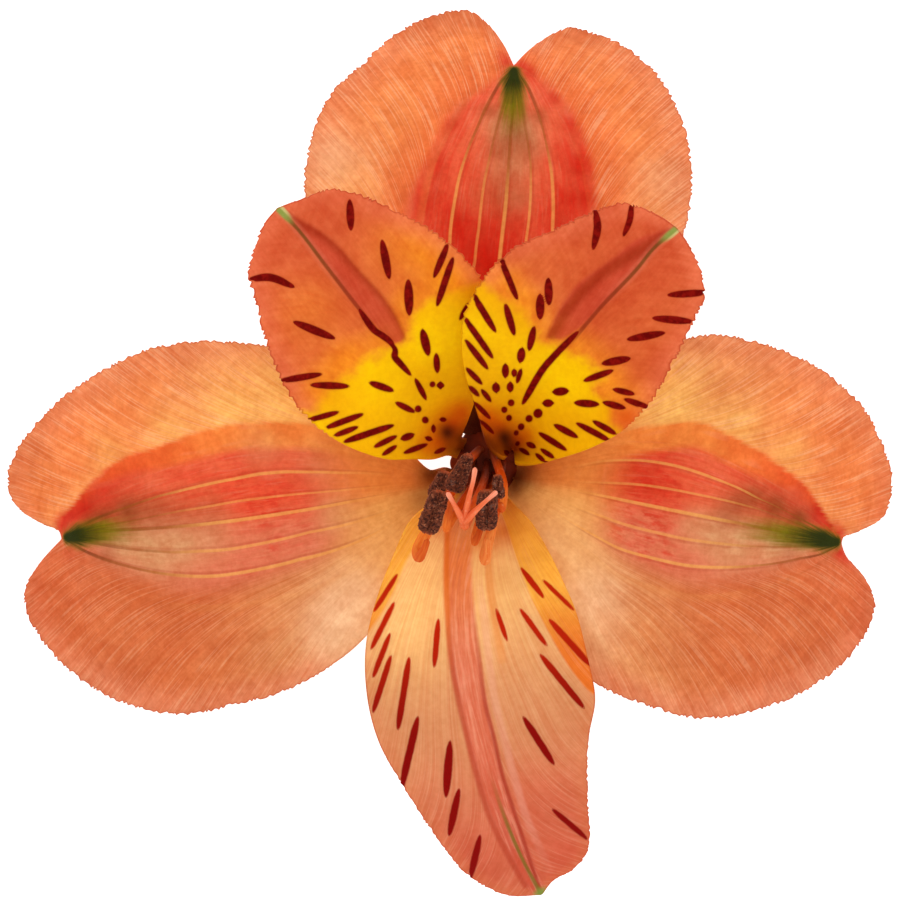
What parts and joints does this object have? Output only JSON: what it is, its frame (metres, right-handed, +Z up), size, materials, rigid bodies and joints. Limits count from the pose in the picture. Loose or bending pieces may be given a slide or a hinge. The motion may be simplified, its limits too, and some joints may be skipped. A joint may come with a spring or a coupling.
{
  "type": "alstroemeria flower",
  "caption": "Single orange alstroemeria flower lying on its back, with notched outer tepals, streaked upper inner tepals, arched stamens, a forked stigma and a short bent stalk.",
  "frame": {"origin": "on the surface, under the middle of the flower's outline", "axes": "+Z up, out of the flower's face; +Y towards the notched top tepal; the stalk lies towards -Y"},
  "size_m": [0.068, 0.0682, 0.0301],
  "materials": {
    "outer_tepal": "satin petal, salmon orange with a red middle panel",
    "inner_tepal_upper": "satin petal, orange and yellow with maroon streaks",
    "inner_tepal_lower": "satin petal, pale apricot to coral with red streaks",
    "filament": "smooth, moist",
    "anther": "grainy, matt",
    "style": "smooth, moist",
    "green": "smooth green stalk and ovary"
  },
  "bodies": {
    "root": {"outer_tepal_left": "outer_tepal", "outer_tepal_right": "outer_tepal", "outer_tepal_top": "outer_tepal", "inner_tepal_upper_left": "inner_tepal_upper", "inner_tepal_upper_right": "inner_tepal_upper", "inner_tepal_lower": "inner_tepal_lower", "filament_1": "filament", "filament_2": "filament", "filament_3": "filament", "filament_4": "filament", "filament_5": "filament", "filament_6": "filament", "anther_1": "anther", "anther_2": "anther", "anther_3": "anther", "anther_4": "anther", "anther_5": "anther", "anther_6": "anther", "style": "style", "ovary": "green", "pedicel": "green"}
  },
  "joints": []
}
